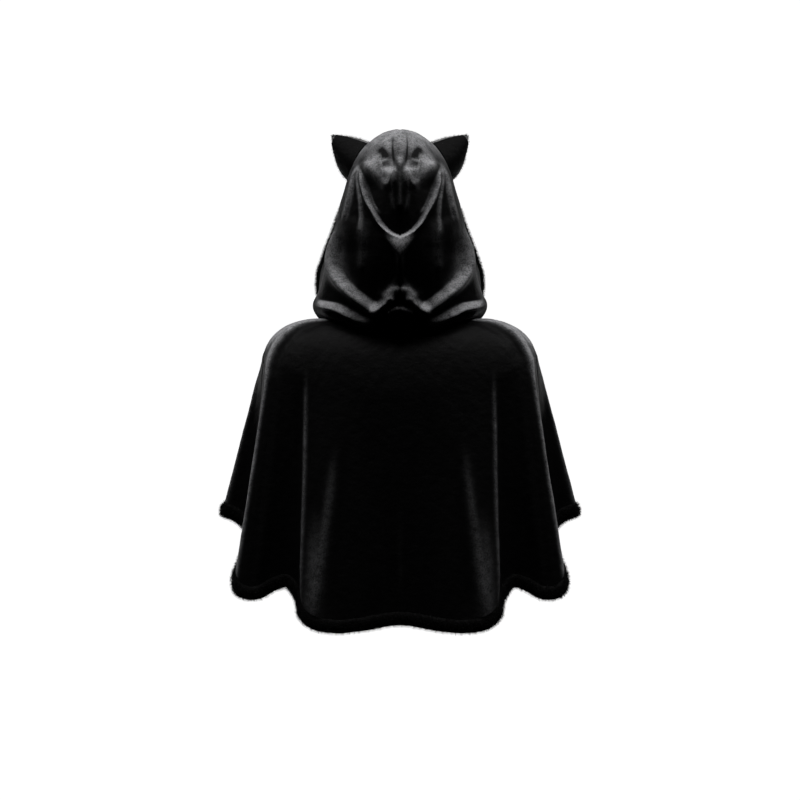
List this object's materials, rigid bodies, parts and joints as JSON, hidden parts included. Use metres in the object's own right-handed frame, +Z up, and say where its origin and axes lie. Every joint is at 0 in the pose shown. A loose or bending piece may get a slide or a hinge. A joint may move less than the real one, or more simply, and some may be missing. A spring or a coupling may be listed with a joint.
{
  "type": "hooded velvet cape with cat ears",
  "caption": "Short hooded cape in black velvet, filled out as worn, with two cat ears on the hood and faux fur along the hem and the face opening.",
  "frame": {"origin": "middle of the neck opening at the height of the neck seam, where the wearer's neck and shoulders hold the cape", "axes": "+Z up along the wearer's neck, -Y out of the cape's front, +X towards the wearer's left"},
  "size_m": [0.5844, 0.3649, 0.7966],
  "materials": {
    "velvet": "black velvet with a short glossy pile",
    "fur": "black faux fur, 8 mm pile",
    "steel": "blackened wire"
  },
  "bodies": {
    "root": {"back": "velvet", "front_left": "velvet", "front_right": "velvet", "hood_left": "velvet", "hood_right": "velvet", "ear_left_back": "velvet", "ear_right_back": "velvet", "back_hem_fur": "fur", "front_left_hem_fur": "fur", "front_right_hem_fur": "fur", "hood_left_fur": "fur", "hood_right_fur": "fur", "ear_left_front": "fur", "ear_right_front": "fur", "throat_hook": "steel", "throat_eye": "steel"}
  },
  "joints": []
}
